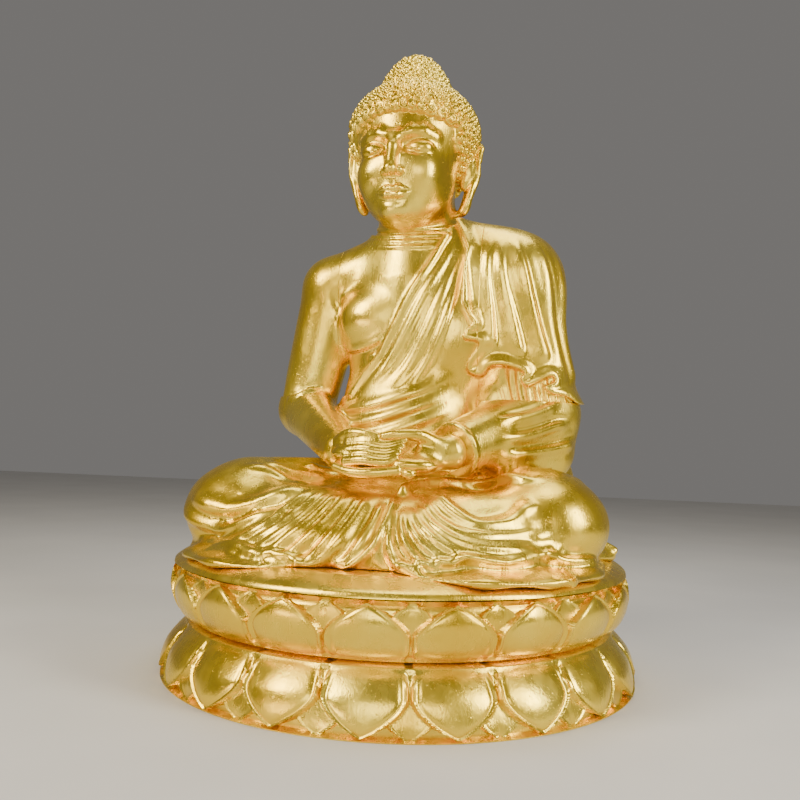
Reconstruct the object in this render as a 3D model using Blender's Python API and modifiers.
"""A seated Buddha on a double lotus throne: hollow gilt castings clamped by one tie rod.

Metres, +Z up, the figure faces -Y. The origin is the centre of the face that the throne stands on.
Each casting is fused from rounded masses, hollowed by the same masses shrunk by the wall (its core),
and sawn at flat joints, as a foundry sections its wax.
"""

import math

import bmesh
import bpy
from mathutils import Matrix, Vector

# Driving dimensions
GAP = 0.0004  # between faces that touch
WALL = 0.010  # of the hollow castings
FOOT_RADIUS = 0.377
WAIST_RADIUS = 0.334
SLAB_RADIUS = 0.361
WAIST_Z = 0.083  # joint between the two lotus tiers
RIM_Z = 0.168  # top of the upper tier
SLAB_TOP_Z = 0.191
LAP_TOP_Z = 0.330
HAND_SEAT_Z = 0.309
COLLAR_Z = 0.700  # joint between torso and neck
CROWN_Z = 0.950  # joint between head and topknot
CAP_Z = 0.912  # joint between head and the solid cap that closes its hollow
SHOULDER_X = 0.121  # joint planes of both upper arms
ELBOW_Z = 0.432  # joint planes of both elbows
PETALS = 20
RING_STEPS = 60  # three to each petal
PETAL_RELIEF = 0.006

NECK_AXIS = Vector((0.004, 0.040, 0.0))
ROD_RADIUS = 0.008
ROD_BOTTOM_Z = 0.042
ROD_TOP_Z = 0.697
NECK_LEDGE_Z = 0.665
NECK_BORE_RADIUS = 0.0455
FLANGE_INNER = 0.299
TIER_BOLT_CIRCLE = 0.308
TIER_BOLT_RADIUS = 0.004
PLATE_RADIUS = 0.350
PLATE_BOTTOM_Z = 0.0077
PLATE_THICK = 0.004
PLATE_SCREW_CIRCLE = 0.336
PLATE_SCREW_RADIUS = 0.0025
FASTENERS = 6

# Skeleton points of the arms
RIGHT_SHOULDER = Vector((-0.140, 0.050, 0.622))
RIGHT_ELBOW = Vector((-0.182, 0.038, 0.412))
RIGHT_WRIST = Vector((-0.068, -0.142, 0.346))
LEFT_SHOULDER = Vector((0.164, 0.050, 0.632))
LEFT_ELBOW = Vector((0.221, 0.042, 0.414))
LEFT_WRIST = Vector((0.094, -0.138, 0.348))

GILT = ("gilt_brass", (0.83, 0.60, 0.20, 1), 0.28, 1.0)
STEEL = ("zinc_steel", (0.55, 0.56, 0.58, 1), 0.40, 1.0)
PLYWOOD = ("plywood", (0.42, 0.27, 0.15, 1), 0.80, 0.0)


def clear_scene():
    for obj in list(bpy.data.objects):
        bpy.data.objects.remove(obj)


def new_collection(name, hidden=False):
    collection = bpy.data.collections.new(name)
    bpy.context.scene.collection.children.link(collection)
    collection.hide_render = hidden
    return collection


def material(look):
    name, colour, roughness, metallic = look
    made = bpy.data.materials.get(name) or bpy.data.materials.new(name)
    made.use_nodes = True
    shader = made.node_tree.nodes["Principled BSDF"]
    shader.inputs["Base Color"].default_value = colour
    shader.inputs["Roughness"].default_value = roughness
    shader.inputs["Metallic"].default_value = metallic
    return made


def add_object(name, mesh, look=None):
    """A node when it has a look, and a hidden cutter when it has none."""
    obj = bpy.data.objects.new(name, mesh)
    if look:
        STATUE.objects.link(obj)
        mesh.materials.append(material(look))
        mesh.shade_smooth()
        mesh.set_sharp_from_angle(angle=math.radians(35))
    else:
        CUTTERS.objects.link(obj)
        obj.hide_render = True
        obj.display_type = "WIRE"
    return obj


def mesh_from(name, bm):
    bmesh.ops.recalc_face_normals(bm, faces=bm.faces)
    mesh = bpy.data.meshes.new(name)
    bm.to_mesh(mesh)
    bm.free()
    return mesh


def evaluated_mesh(obj):
    bpy.context.view_layer.update()
    graph = bpy.context.evaluated_depsgraph_get()
    return bpy.data.meshes.new_from_object(obj.evaluated_get(graph))


def boolean(obj, cutter, operation="DIFFERENCE"):
    modifier = obj.modifiers.new(operation.lower(), "BOOLEAN")
    modifier.operation = operation
    modifier.solver = "EXACT"
    modifier.object = cutter


def cylinder(name, radius, bottom, top, centre=(0, 0), sides=32, look=None):
    """An upright cylinder from z = bottom to z = top."""
    bm = bmesh.new()
    place = Matrix.Translation((centre[0], centre[1], (bottom + top) / 2))
    bmesh.ops.create_cone(bm, cap_ends=True, segments=sides, radius1=radius, radius2=radius,
                          depth=top - bottom, matrix=place)
    return add_object(name, mesh_from(name, bm), look)


def block(name, low, high, look=None):
    bm = bmesh.new()
    bmesh.ops.create_cube(bm, size=1)
    middle = (Vector(low) + Vector(high)) / 2
    size = Vector(high) - Vector(low)
    bmesh.ops.transform(bm, matrix=Matrix.Translation(middle) @ Matrix.Diagonal((*size, 1)), verts=bm.verts)
    return add_object(name, mesh_from(name, bm), look)


def half_space(name, point, normal):
    """A large block whose face lies at point, filling the side that normal points to."""
    size = 2.0
    turn = Vector(normal).to_track_quat("Z", "Y").to_matrix().to_4x4()
    bm = bmesh.new()
    bmesh.ops.create_cube(bm, size=size)
    place = Matrix.Translation(point) @ turn @ Matrix.Translation((0, 0, size / 2))
    bmesh.ops.transform(bm, matrix=place, verts=bm.verts)
    return add_object(name, mesh_from(name, bm))


def turned(name, profile, steps, centre=(0, 0), look=None):
    """A closed outline of (radius, z) points turned about an upright axis."""
    bm = bmesh.new()
    corners = [bm.verts.new((radius, 0, z)) for radius, z in profile]
    for start, end in zip(corners, corners[1:] + corners[:1]):
        bm.edges.new((start, end))
    mesh = bpy.data.meshes.new(name)
    bm.to_mesh(mesh)
    bm.free()
    obj = add_object(name, mesh, look)
    obj.location = (centre[0], centre[1], 0)
    screw = obj.modifiers.new("turn", "SCREW")
    screw.steps = screw.render_steps = steps
    screw.use_merge_vertices = True
    screw.merge_threshold = 0.0001
    return obj


def ball(bm, centre, radii, inset):
    radii = [max(r - inset, 0.004) for r in radii]
    place = Matrix.Translation(centre) @ Matrix.Diagonal((*radii, 1))
    bmesh.ops.create_uvsphere(bm, u_segments=32, v_segments=16, radius=1, matrix=place)


def limb(bm, start, end, start_radius, end_radius, inset):
    """Two balls and the cone between them."""
    start, end = Vector(start), Vector(end)
    start_radius -= inset
    end_radius -= inset
    ball(bm, start, (start_radius,) * 3, 0)
    ball(bm, end, (end_radius,) * 3, 0)
    turn = (end - start).to_track_quat("Z", "Y").to_matrix().to_4x4()
    place = Matrix.Translation((start + end) / 2) @ turn
    bmesh.ops.create_cone(bm, cap_ends=True, segments=32, radius1=start_radius, radius2=end_radius,
                          depth=(end - start).length, matrix=place)


def drop_pockets(mesh):
    """Keep the outer skin alone, without the small closed pockets that melting leaves inside."""
    bm = bmesh.new()
    bm.from_mesh(mesh)
    skins, seen = [], set()
    for start in bm.verts:
        if start in seen:
            continue
        skin, reached = [], [start]
        seen.add(start)
        while reached:
            vert = reached.pop()
            skin.append(vert)
            for edge in vert.link_edges:
                other = edge.other_vert(vert)
                if other not in seen:
                    seen.add(other)
                    reached.append(other)
        skins.append(skin)
    skins.sort(key=len)
    for skin in skins[:-1]:
        bmesh.ops.delete(bm, geom=skin, context="VERTS")
    bm.to_mesh(mesh)
    bm.free()


def fused(name, masses, triangles, inset=0.0, voxel=0.008, smoothing=4, look=None):
    """The masses melted into one closed skin, then thinned to about that many triangles."""
    bm = bmesh.new()
    for mass in masses:
        if len(mass) == 2:
            ball(bm, *mass, inset)
        else:
            limb(bm, *mass, inset)
    rough = add_object(name + "_rough", mesh_from(name + "_rough", bm))
    remesh = rough.modifiers.new("melt", "REMESH")
    remesh.mode = "VOXEL"
    remesh.voxel_size = voxel
    smooth = rough.modifiers.new("smooth", "SMOOTH")
    smooth.iterations = smoothing
    mesh = evaluated_mesh(rough)
    mesh.name = name
    drop_pockets(mesh)
    bpy.data.objects.remove(rough)
    obj = add_object(name, mesh, look)
    thin = obj.modifiers.new("thin", "DECIMATE")
    thin.ratio = min(1.0, triangles / (2 * len(mesh.polygons)))
    thin.use_collapse_triangulate = True
    return obj


def casting(name, masses, triangles, cuts, core_triangles=0, core_cuts=(), voxel=0.008):
    """A fused skin, hollowed by its core and then cut."""
    obj = fused(name, masses, triangles, voxel=voxel, look=GILT)
    if core_triangles:
        core = fused(name + "_core", masses, core_triangles, inset=WALL, voxel=voxel)
        for cut in core_cuts:
            boolean(core, cut)
        boolean(obj, core)
    for cut in cuts:
        boolean(obj, cut)
    return obj


def petal_scallop(angle):
    """0 in the groove between two petals, 1 on a petal's crest."""
    phase = (angle * PETALS / math.tau) % 1.0
    return math.sin(math.pi * phase) ** 0.6


def lotus_ring(name, section):
    """A ring lofted through copies of its (radius, z, relief) outline, whose relief swells over each petal."""
    bm = bmesh.new()
    rings = []
    for step in range(RING_STEPS):
        angle = math.tau * step / RING_STEPS
        swell = PETAL_RELIEF * (petal_scallop(angle) - 1)
        ring = []
        for radius, z, relief in section:
            reach = radius + relief * swell
            ring.append(bm.verts.new((reach * math.cos(angle), reach * math.sin(angle), z)))
        rings.append(ring)
    count = len(section)
    for here, after in zip(rings, rings[1:] + rings[:1]):
        for corner in range(count):
            upper = (corner + 1) % count
            bm.faces.new((here[corner], after[corner], after[upper], here[upper]))
    return add_object(name, mesh_from(name, bm), GILT)


def on_circle(radius, index, offset_deg):
    angle = math.radians(360 / FASTENERS * index + offset_deg)
    return radius * math.cos(angle), radius * math.sin(angle)


def drill(name, targets, radius, bottom, top, centre, sides=12):
    hole = cylinder(name, radius, bottom, top, centre, sides)
    for target in targets:
        boolean(target, hole)


def headed_screw(name, centre, head_radius, head_bottom, head_top, shank_radius, shank_top, head_sides):
    """A screw standing head down."""
    head = cylinder(name, head_radius, head_bottom, head_top, centre, head_sides, STEEL)
    shank = cylinder(name + "_shank", shank_radius, head_top - 0.001, shank_top, centre, 12)
    boolean(head, shank, "UNION")
    return head


def ring_part(name, inner, outer, bottom, top, centre=(0, 0), steps=24, look=STEEL):
    outline = [(outer, top), (outer, bottom), (inner, bottom), (inner, top)]
    return turned(name, outline, steps, centre, look)


def lower_lotus():
    section = [
        (FOOT_RADIUS, 0.0, 0), (FOOT_RADIUS + 0.001, 0.012, 0), (FOOT_RADIUS - 0.002, 0.026, 0.8),
        (0.365, 0.048, 1), (0.350, 0.068, 1), (WAIST_RADIUS + 0.003, WAIST_Z, 0.5),
        (FLANGE_INNER, WAIST_Z, 0), (FLANGE_INNER, WAIST_Z - 0.008, 0), (0.324, WAIST_Z - 0.008, 0),
        (0.350, 0.044, 0), (0.359, 0.022, 0), (0.322, 0.022, 0), (0.322, 0.012, 0), (0.362, 0.012, 0),
        (0.362, 0.0, 0),
    ]
    return lotus_ring("lower_lotus_tier", section)


def upper_lotus():
    bottom = WAIST_Z + GAP
    section = [
        (WAIST_RADIUS - 0.002, bottom, 0.5), (0.350, 0.098, 1), (0.360, 0.118, 1), (0.364, 0.138, 1),
        (0.362, 0.156, 0.7), (SLAB_RADIUS - 0.005, RIM_Z, 0), (0.318, RIM_Z, 0), (0.318, RIM_Z - 0.008, 0),
        (0.344, RIM_Z - 0.010, 0), (0.349, 0.130, 0), (0.340, 0.108, 0), (0.318, bottom + 0.008, 0),
        (FLANGE_INNER, bottom + 0.008, 0), (FLANGE_INNER, bottom, 0),
    ]
    return lotus_ring("upper_lotus_tier", section)


def seat_slab():
    """The shallow domed slab that the figure sits on."""
    bottom = RIM_Z + GAP
    outline = [
        (0.302, SLAB_TOP_Z), (0.328, 0.1862), (0.350, 0.1785), (SLAB_RADIUS, bottom + 0.0035),
        (SLAB_RADIUS - 0.001, bottom), (0.334, bottom), (0.324, SLAB_TOP_Z - 0.014), (0.306, SLAB_TOP_Z - 0.009),
        (0.0095, SLAB_TOP_Z - 0.009), (0.0095, SLAB_TOP_Z),
    ]
    return turned("seat_slab", outline, 60, look=GILT)


def lap():
    masses = []
    for side in (-1, 1):
        masses += [
            ((side * 0.085, 0.050, 0.262), (side * 0.225, -0.080, 0.256), 0.078, 0.072),
            ((side * 0.240, -0.098, 0.246), (0.087, 0.092, 0.074)),
            ((side * 0.235, -0.120, 0.234), (side * 0.020, -0.190, 0.230), 0.062, 0.060),
            ((side * 0.150, 0.000, 0.205), (0.165, 0.150, 0.045)),
        ]
    masses += [
        ((0.0, 0.072, 0.270), (0.150, 0.112, 0.095)),
        ((0.0, -0.168, 0.212), (0.235, 0.120, 0.062)),
        ((0.0, -0.070, 0.245), (0.170, 0.130, 0.064)),
        ((0.0, -0.020, 0.210), (0.120, 0.110, 0.065)),
        ((0.0, 0.040, 0.330), (0.122, 0.090, 0.060)),
        ((0.215, 0.062, 0.300), (0.060, 0.060, 0.070)),
        ((0.280, 0.020, 0.200), (0.056, 0.052, 0.020)),
    ]
    hand_seat = block("hand_seat", (-0.140, -0.320, HAND_SEAT_Z), (0.140, -0.066, 0.400))
    cuts = [
        half_space("lap_floor", (0, 0, SLAB_TOP_Z + GAP), (0, 0, -1)),
        half_space("lap_top", (0, 0, LAP_TOP_Z), (0, 0, 1)),
        hand_seat,
    ]
    seat_floor = block("hand_seat_floor", (-0.150, -0.330, HAND_SEAT_Z - WALL), (0.150, -0.050, 0.400))
    deck = half_space("lap_deck", (0, 0, LAP_TOP_Z - WALL), (0, 0, 1))
    cuts.append(cylinder("deck_bore", 0.072, LAP_TOP_Z - 0.030, LAP_TOP_Z + 0.010, NECK_AXIS[:2]))
    return casting("lap_and_legs", masses, 1300, cuts, 500, [seat_floor, deck])


def torso():
    masses = [
        ((0.0, 0.034, 0.375), (0.122, 0.100, 0.110)),
        ((0.004, 0.040, 0.450), (0.112, 0.092, 0.110)),
        ((0.002, 0.048, 0.560), (0.136, 0.092, 0.100)),
        ((0.062, 0.046, 0.540), (0.122, 0.094, 0.120)),
        (RIGHT_SHOULDER, NECK_AXIS + Vector((-0.020, 0.006, 0.668)), 0.056, 0.062),
        (LEFT_SHOULDER, NECK_AXIS + Vector((0.030, 0.006, 0.684)), 0.067, 0.067),
        (NECK_AXIS + Vector((0, 0, 0.630)), NECK_AXIS + Vector((0, 0, 0.740)), 0.086, 0.060),
    ]
    boss = cylinder("neck_boss", 0.060, NECK_LEDGE_Z - 0.012, 0.800, NECK_AXIS[:2])
    cuts = [
        half_space("torso_floor", (0, 0, LAP_TOP_Z + GAP), (0, 0, -1)),
        half_space("torso_collar", (0, 0, COLLAR_Z), (0, 0, 1)),
        half_space("torso_right", (-SHOULDER_X, 0, 0), (-1, 0, 0)),
        half_space("torso_left", (SHOULDER_X, 0, 0), (1, 0, 0)),
        cylinder("collar_bore", NECK_BORE_RADIUS, NECK_LEDGE_Z, 0.800, NECK_AXIS[:2]),
        cylinder("ledge_bore", 0.020, NECK_LEDGE_Z - 0.050, NECK_LEDGE_Z + 0.010, NECK_AXIS[:2]),
    ]
    clearance = fused("torso_clearance", masses, 700, inset=-0.0035)
    walls = [
        half_space("torso_wall_right", (-SHOULDER_X + WALL, 0, 0), (-1, 0, 0)),
        half_space("torso_wall_left", (SHOULDER_X - WALL, 0, 0), (1, 0, 0)),
    ]
    return casting("torso", masses, 1100, cuts, 400, [boss] + walls), clearance


def arm(side, shoulder, elbow, wrist, radii, body):
    """Upper arm and forearm of one side, and the sleeves that join them inside."""
    sign = -1 if side == "right" else 1
    shoulder_radius, elbow_radius, wrist_radius = radii
    inward = Vector((-sign, 0, 0))
    upper = [
        (shoulder, elbow, shoulder_radius, elbow_radius),
        (shoulder + inward * 0.070 + Vector((0, 0, 0.016)), shoulder, shoulder_radius, shoulder_radius),
    ]
    shoulder_cut = half_space(side + "_arm_shoulder", (sign * (SHOULDER_X + GAP), 0, 0), inward)
    elbow_cut = half_space(side + "_arm_elbow", (0, 0, ELBOW_Z + GAP), (0, 0, -1))
    shoulder_wall = half_space(side + "_arm_wall", (sign * (SHOULDER_X + GAP + WALL), 0, 0), inward)
    casting(side + "_upper_arm", upper, 420, [shoulder_cut, elbow_cut], 160, [shoulder_wall])
    along = (wrist - elbow).normalized()
    stop = wrist - along * 0.004
    lower = [(shoulder, elbow, shoulder_radius, elbow_radius), (elbow, wrist, elbow_radius, wrist_radius)]
    if side == "left":
        lower.append((elbow, elbow + Vector((-0.004, 0.012, -0.050)), elbow_radius, elbow_radius))
    forearm_cuts = [
        half_space(side + "_forearm_elbow", (0, 0, ELBOW_Z), (0, 0, 1)),
        half_space(side + "_forearm_lap", (0, 0, LAP_TOP_Z + GAP), (0, 0, -1)),
        half_space(side + "_forearm_wrist", stop, along),
    ]
    core_end = half_space(side + "_core_end", stop - along * 0.030, along)
    core_floor = half_space(side + "_core_floor", (0, 0, LAP_TOP_Z + GAP + WALL), (0, 0, -1))
    casting(side + "_forearm", lower, 400, forearm_cuts + [body], 160, [core_end, core_floor])
    dowel(side + "_wrist_dowel", stop, along)
    shoulder_sleeve(side, sign, shoulder)
    return stop, along


def bar_along(name, start, end, radius, sides=12, look=None):
    """A round bar between two points."""
    start, end = Vector(start), Vector(end)
    turn = (end - start).to_track_quat("Z", "Y").to_matrix().to_4x4()
    bm = bmesh.new()
    bmesh.ops.create_cone(bm, cap_ends=True, segments=sides, radius1=radius, radius2=radius,
                          depth=(end - start).length, matrix=Matrix.Translation((start + end) / 2) @ turn)
    return add_object(name, mesh_from(name, bm), look)


def dowel(name, centre, along):
    """A pin across a wrist joint, with its hole in the forearm."""
    bar_along(name, centre - along * 0.018, centre + along * 0.012, 0.004, look=STEEL)
    hole = bar_along(name + "_hole", centre - along * 0.019, centre + along * 0.013, 0.0045)
    boolean(bpy.data.objects[name.replace("_wrist_dowel", "_forearm")], hole)


def shoulder_sleeve(side, sign, shoulder):
    """A short round tube across a shoulder joint, in a bore of its own."""
    name = side + "_shoulder_sleeve"
    low = Vector((sign * (SHOULDER_X - 0.022), shoulder.y, shoulder.z))
    high = Vector((sign * (SHOULDER_X + 0.022), shoulder.y, shoulder.z))
    tube = bar_along(name, low, high, 0.034, 24, STEEL)
    inside = Vector((sign * 0.004, 0, 0))
    boolean(tube, bar_along(name + "_inside", low - inside, high + inside, 0.030, 24))
    bore = bar_along(name + "_bore", low - inside, high + inside, 0.0345, 24)
    for target in ("torso", side + "_upper_arm"):
        boolean(bpy.data.objects[target], bore)


def hand(side, wrist, along, level_cut, palm_z):
    """A hand of the meditation pair: a palm and four fingers that cross the lap, and a thumb."""
    sign = -1 if side == "right" else 1
    masses = [
        (wrist - along * 0.020, wrist + along * 0.030, 0.026, 0.022),
        ((sign * 0.032, -0.172, palm_z), (0.046, 0.040, 0.0165)),
        ((sign * -0.022, -0.176, palm_z), (0.048, 0.034, 0.0135)),
        ((sign * 0.046, -0.150, palm_z + 0.006), (sign * 0.010, -0.150, palm_z + 0.012), 0.011, 0.009),
    ]
    wrist_cut = half_space(side + "_hand_wrist", wrist + along * GAP, -along)
    obj = casting(side + "_hand", masses, 420, [wrist_cut, level_cut], voxel=0.005)
    boolean(obj, bpy.data.objects[side + "_wrist_dowel_hole"])
    return obj


def head():
    centre = Vector((-0.002, 0.008, 0.0))
    masses = [
        (centre + Vector((-0.002, 0.014, 0.879)), (0.106, 0.114, 0.088)),
        (centre + Vector((-0.004, -0.026, 0.806)), (0.080, 0.082, 0.092)),
        (centre + Vector((-0.006, -0.060, 0.742)), (0.046, 0.044, 0.037)),
        (centre + Vector((-0.008, -0.102, 0.800)), centre + Vector((-0.008, -0.088, 0.838)), 0.014, 0.010),
        (NECK_AXIS + Vector((0, 0, 0.680)), NECK_AXIS + Vector((0, -0.012, 0.780)), 0.062, 0.062),
        (centre + Vector((-0.100, 0.010, 0.812)), (0.011, 0.024, 0.056)),
        (centre + Vector((0.098, 0.028, 0.812)), (0.011, 0.024, 0.056)),
        (centre + Vector((0, 0.016, 0.940)), (0.062, 0.062, 0.040)),
    ]
    obj = fused("head", masses, 1000, voxel=0.006, look=GILT)
    cap = fused("crown_cap", masses, 1000, voxel=0.006, look=GILT)
    boolean(cap, half_space("cap_floor", (0, 0, CAP_Z + GAP), (0, 0, -1)))
    boolean(cap, half_space("cap_crown", (0, 0, CROWN_Z), (0, 0, 1)))
    boolean(obj, half_space("head_collar", (0, 0, COLLAR_Z + GAP), (0, 0, -1)))
    boolean(obj, half_space("head_top", (0, 0, CAP_Z), (0, 0, 1)))
    spigot_bottom = NECK_LEDGE_Z + 0.0075
    spigot = cylinder("spigot", NECK_BORE_RADIUS - 0.0005, spigot_bottom, COLLAR_Z + 0.030, NECK_AXIS[:2])
    boolean(obj, spigot, "UNION")
    core = fused("head_core", masses[:2], 300, inset=WALL, voxel=0.008)
    boolean(obj, core)
    boolean(obj, cylinder("neck_bore", 0.036, spigot_bottom - 0.010, 0.800, NECK_AXIS[:2]))
    return obj, centre


def topknot(centre):
    masses = [
        (centre + Vector((-0.002, 0.016, 0.948)), (0.061, 0.061, 0.058)),
        (centre + Vector((-0.002, 0.016, 0.982)), (0.042, 0.042, 0.035)),
    ]
    obj = fused("topknot", masses, 300, voxel=0.006, look=GILT)
    boolean(obj, half_space("topknot_floor", (0, 0, CROWN_Z + GAP), (0, 0, -1)))
    middle = (centre.x, centre.y + 0.016)
    drill("topknot_dowel_hole", [obj, bpy.data.objects["crown_cap"]], 0.0055, 0.9305, 0.9725, middle)
    cylinder("topknot_dowel", 0.005, 0.9310, 0.9720, middle, 12, STEEL)
    return obj


def brow_jewel(head_object, centre):
    """The small stud between the brows, on a pin in the forehead."""
    z = 0.858
    seat_y = -0.0990
    x = centre.x - 0.006
    boolean(head_object, bar_along("jewel_seat", (x, seat_y, z), (x, seat_y - 0.040, z), 0.0062))
    boolean(head_object, bar_along("jewel_hole", (x, seat_y + 0.008, z), (x, seat_y - 0.010, z), 0.0020))
    jewel = bar_along("brow_jewel", (x, seat_y + 0.007, z), (x, seat_y - GAP - 0.001, z), 0.0016, look=GILT)
    bm = bmesh.new()
    place = Matrix.Translation((x, seat_y - GAP, z))
    bmesh.ops.create_uvsphere(bm, u_segments=16, v_segments=10, radius=0.0055, matrix=place)
    dome = add_object("jewel_dome", mesh_from("jewel_dome", bm))
    boolean(dome, half_space("jewel_back", (x, seat_y - GAP, z), (0, 1, 0)))
    boolean(jewel, dome, "UNION")


def throne_fasteners(lower, upper):
    """The bolts that clamp the two tiers, and the plate that closes the throne from below."""
    plate = cylinder("closing_plate", PLATE_RADIUS, PLATE_BOTTOM_Z, PLATE_BOTTOM_Z + PLATE_THICK,
                     sides=48, look=PLYWOOD)
    for index in range(FASTENERS):
        number = str(index + 1)
        at = on_circle(TIER_BOLT_CIRCLE, index, 32)
        hole_top = WAIST_Z + 0.030
        drill("tier_hole_" + number, [lower, upper], TIER_BOLT_RADIUS + 0.0006, WAIST_Z - 0.020, hole_top, at)
        headed_screw("tier_bolt_" + number, at, 0.0075, WAIST_Z - 0.0134, WAIST_Z - 0.0084,
                     TIER_BOLT_RADIUS, WAIST_Z + 0.018, 6)
        nut_bottom = WAIST_Z + GAP + 0.008 + GAP
        ring_part("tier_nut_" + number, TIER_BOLT_RADIUS * 1.25, 0.0075, nut_bottom, nut_bottom + 0.006, at, 6)
        at = on_circle(PLATE_SCREW_CIRCLE, index, 2.5)
        drill("plate_hole_" + number, [lower, plate], PLATE_SCREW_RADIUS + 0.0005, 0.0, 0.030, at)
        headed_screw("plate_screw_" + number, at, 0.0055, PLATE_BOTTOM_Z - GAP - 0.003, PLATE_BOTTOM_Z - GAP,
                     PLATE_SCREW_RADIUS, 0.021, 12)


def tie_rod(slab):
    """The rod that clamps throne, lap and torso, with its bar below and its plate in the neck."""
    at = NECK_AXIS[:2]
    cylinder("tie_rod", ROD_RADIUS, ROD_BOTTOM_Z, ROD_TOP_Z, at, 16, STEEL)
    hole = cylinder("rod_hole", ROD_RADIUS + 0.0015, 0.030, SLAB_TOP_Z + 0.010, at, 24)
    bar_top = WAIST_Z - 0.008 - GAP
    bar_bottom = bar_top - 0.010
    bar = block("anchor_bar", (-0.298, NECK_AXIS.y - 0.025, bar_bottom), (0.298, NECK_AXIS.y + 0.025, bar_top), STEEL)
    boolean(bar, hole)
    boolean(slab, hole)
    washer_top = bar_bottom - GAP
    ring_part("anchor_washer", ROD_RADIUS + 0.001, 0.018, washer_top - 0.003, washer_top, at)
    nut_top = washer_top - 0.003 - GAP
    ring_part("anchor_nut", ROD_RADIUS * 1.22, 0.0145, nut_top - 0.010, nut_top, at, 6)
    plate_bottom = NECK_LEDGE_Z + GAP
    ring_part("neck_plate", ROD_RADIUS + 0.001, 0.044, plate_bottom, plate_bottom + 0.006, at, 32)
    washer_bottom = plate_bottom + 0.006 + GAP
    ring_part("neck_washer", ROD_RADIUS + 0.001, 0.018, washer_bottom, washer_bottom + 0.003, at)
    nut_bottom = washer_bottom + 0.003 + GAP
    ring_part("neck_nut", ROD_RADIUS * 1.22, 0.0145, nut_bottom, nut_bottom + 0.013, at, 6)


clear_scene()
STATUE = new_collection("buddha_statue")
CUTTERS = new_collection("cutters", hidden=True)

lower_tier = lower_lotus()
upper_tier = upper_lotus()
throne_fasteners(lower_tier, upper_tier)
tie_rod(seat_slab())
lap()
_, body_clearance = torso()
right_stop, right_along = arm("right", RIGHT_SHOULDER, RIGHT_ELBOW, RIGHT_WRIST, (0.057, 0.046, 0.030),
                               body_clearance)
left_stop, left_along = arm("left", LEFT_SHOULDER, LEFT_ELBOW, LEFT_WRIST, (0.067, 0.058, 0.038),
                             body_clearance)
HANDS_Z = 0.3395  # the right hand lies on the left one at this height
hand("right", right_stop, right_along, half_space("right_hand_floor", (0, 0, HANDS_Z + GAP), (0, 0, -1)), 0.353)
hand("left", left_stop, left_along, half_space("left_hand_top", (0, 0, HANDS_Z), (0, 0, 1)), 0.327)
head_casting, head_centre = head()
topknot(head_centre)
brow_jewel(head_casting, head_centre)
